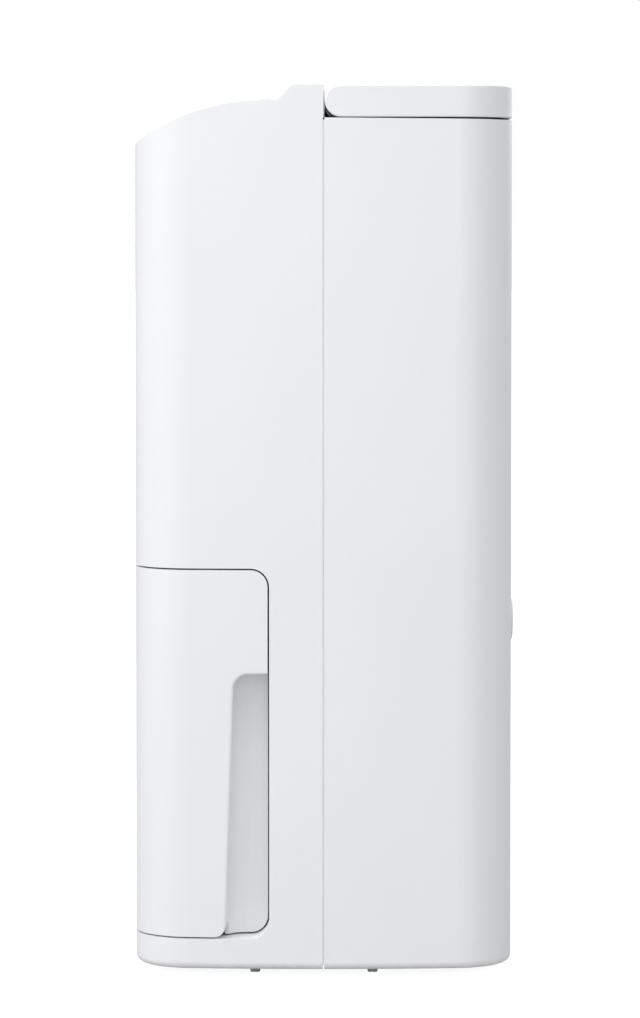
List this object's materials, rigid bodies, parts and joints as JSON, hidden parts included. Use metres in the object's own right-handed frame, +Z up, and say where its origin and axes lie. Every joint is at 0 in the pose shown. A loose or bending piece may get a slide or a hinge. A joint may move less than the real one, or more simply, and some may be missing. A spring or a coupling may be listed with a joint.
{
  "type": "dehumidifier",
  "caption": "Slim free-standing compressor dehumidifier with a top louver, a pull-out front tank with side finger grips, and sideways casters.",
  "frame": {"origin": "on the floor under the middle of the casing", "axes": "+Z up, front faces -Y, X is the width, so the louver and filter are at +Y"},
  "size_m": [0.3, 0.2162, 0.5],
  "materials": {
    "white_abs": "fine satin moulded ABS",
    "button_abs": "satin moulded ABS",
    "grey_abs": "fine-textured moulded ABS",
    "dark_pp": "textured moulded polypropylene",
    "eps_foam": "moulded bead foam and white plastic",
    "acetal": "moulded acetal",
    "clear_pp": "translucent moulded polypropylene",
    "smoked_acrylic": "polished smoked acrylic",
    "steel": "zinc-plated steel",
    "copper": "drawn copper tube",
    "aluminium_fin": "rolled aluminium sheet",
    "black_enamel": "black stoved enamel",
    "rubber_black": "moulded rubber",
    "circuit_board": "solder-masked board",
    "filter_mesh": "moulded frame with woven mesh"
  },
  "bodies": {
    "casing": {"accumulator": "copper", "air_duct": "eps_foam", "base_pan": "dark_pp", "capillary_tube": "copper", "casing_screws": "steel", "caster_axles": "steel", "compressor": "black_enamel", "compressor_bolts": "steel", "compressor_grommets": "rubber_black", "condenser_fins": "aluminium_fin", "condenser_tube": "copper", "control_panel": "white_abs", "control_pcb": "circuit_board", "cord_gland": "dark_pp", "discharge_pipe": "copper", "display_window": "smoked_acrylic", "drain_hose": "rubber_black", "drain_spout": "dark_pp", "drip_tray": "eps_foam", "evaporator_fins": "aluminium_fin", "evaporator_tube": "copper", "fan_motor": "steel", "fan_scroll": "eps_foam", "filter_drier": "copper", "float_sensor": "dark_pp", "front_casing": "white_abs", "glide_feet": "acetal", "humidity_sensor": "circuit_board", "louver_motor": "steel", "mid_frame": "dark_pp", "outlet_grille": "grey_abs", "pcb_box": "dark_pp", "power_pcb": "circuit_board", "rear_casing": "white_abs", "run_capacitor": "aluminium_fin", "suction_pipe": "copper"},
    "louver": {"louver_cover": "white_abs", "louver_inner_panel": "grey_abs", "louver_hinge_pins": "steel", "louver_gear": "acetal"},
    "louver_drive": {"louver_pinion": "acetal"},
    "tank": {"tank_cover": "white_abs", "tank_bucket": "clear_pp", "tank_lid": "clear_pp"},
    "float": {"tank_float": "dark_pp", "float_magnet": "steel"},
    "filter_cover": {"rear_grille": "white_abs", "air_filter": "filter_mesh"},
    "drain_plug": {"drain_cap": "white_abs"},
    "fan": {"fan_impeller": "dark_pp", "fan_shaft": "steel"},
    "power_button_body": {"power_button": "button_abs"},
    "mode_button_body": {"mode_button": "button_abs"},
    "laundry_button_body": {"laundry_button": "button_abs"},
    "timer_button_body": {"timer_button": "button_abs"},
    "louver_button_body": {"louver_button": "button_abs"},
    "caster_front_left": {"caster_wheel_front_left": "acetal"},
    "caster_front_right": {"caster_wheel_front_right": "acetal"},
    "caster_rear_left": {"caster_wheel_rear_left": "acetal"},
    "caster_rear_right": {"caster_wheel_rear_right": "acetal"}
  },
  "joints": [
    {"name": "louver_swing", "type": "hinge", "parent": "casing", "child": "louver", "pos_m": [0, 0.0096, 0.4911], "axis": [1, 0, 0], "range_deg": [0, 90]},
    {"name": "louver_pinion_spin", "type": "hinge", "parent": "casing", "child": "louver_drive", "pos_m": [0.085, 0.0096, 0.4791], "axis": [1, 0, 0], "range_deg": [-103, 0]},
    {"name": "tank_slide", "type": "slide", "parent": "casing", "child": "tank", "axis": [0, -1, 0], "range_m": [0, 0.1]},
    {"name": "float_rise", "type": "slide", "parent": "tank", "child": "float", "axis": [0, 0, 1], "range_m": [0, 0.018]},
    {"name": "filter_cover_pull", "type": "slide", "parent": "casing", "child": "filter_cover", "axis": [0, 1, 0], "range_m": [0, 0.06]},
    {"name": "drain_cap_pull", "type": "slide", "parent": "casing", "child": "drain_plug", "axis": [0, 1, 0], "range_m": [0, 0.025]},
    {"name": "fan_spin", "type": "hinge", "parent": "casing", "child": "fan", "pos_m": [0, -0.04, 0.338], "axis": [0, 1, 0], "continuous": true},
    {"name": "power_button_press", "type": "slide", "parent": "casing", "child": "power_button_body", "axis": [0, 0.2791, -0.9603], "range_m": [0, 0.001], "stiffness_N_per_m": 800, "springref_m": -0.0004},
    {"name": "mode_button_press", "type": "slide", "parent": "casing", "child": "mode_button_body", "axis": [0, 0.2791, -0.9603], "range_m": [0, 0.001], "stiffness_N_per_m": 800, "springref_m": -0.0004},
    {"name": "laundry_button_press", "type": "slide", "parent": "casing", "child": "laundry_button_body", "axis": [0, 0.2791, -0.9603], "range_m": [0, 0.001], "stiffness_N_per_m": 800, "springref_m": -0.0004},
    {"name": "timer_button_press", "type": "slide", "parent": "casing", "child": "timer_button_body", "axis": [0, 0.2791, -0.9603], "range_m": [0, 0.001], "stiffness_N_per_m": 800, "springref_m": -0.0004},
    {"name": "louver_button_press", "type": "slide", "parent": "casing", "child": "louver_button_body", "axis": [0, 0.2791, -0.9603], "range_m": [0, 0.001], "stiffness_N_per_m": 800, "springref_m": -0.0004},
    {"name": "caster_front_left_spin", "type": "hinge", "parent": "casing", "child": "caster_front_left", "pos_m": [-0.132, -0.0386, 0.0085], "axis": [0, 1, 0], "continuous": true},
    {"name": "caster_front_right_spin", "type": "hinge", "parent": "casing", "child": "caster_front_right", "pos_m": [0.132, -0.0386, 0.0085], "axis": [0, 1, 0], "continuous": true},
    {"name": "caster_rear_left_spin", "type": "hinge", "parent": "casing", "child": "caster_rear_left", "pos_m": [-0.132, 0.0277, 0.0085], "axis": [0, 1, 0], "continuous": true},
    {"name": "caster_rear_right_spin", "type": "hinge", "parent": "casing", "child": "caster_rear_right", "pos_m": [0.132, 0.0277, 0.0085], "axis": [0, 1, 0], "continuous": true}
  ],
  "couplings": [
    {"joint": "louver_pinion_spin", "follows": "louver_swing", "ratio": -1.1429}
  ]
}
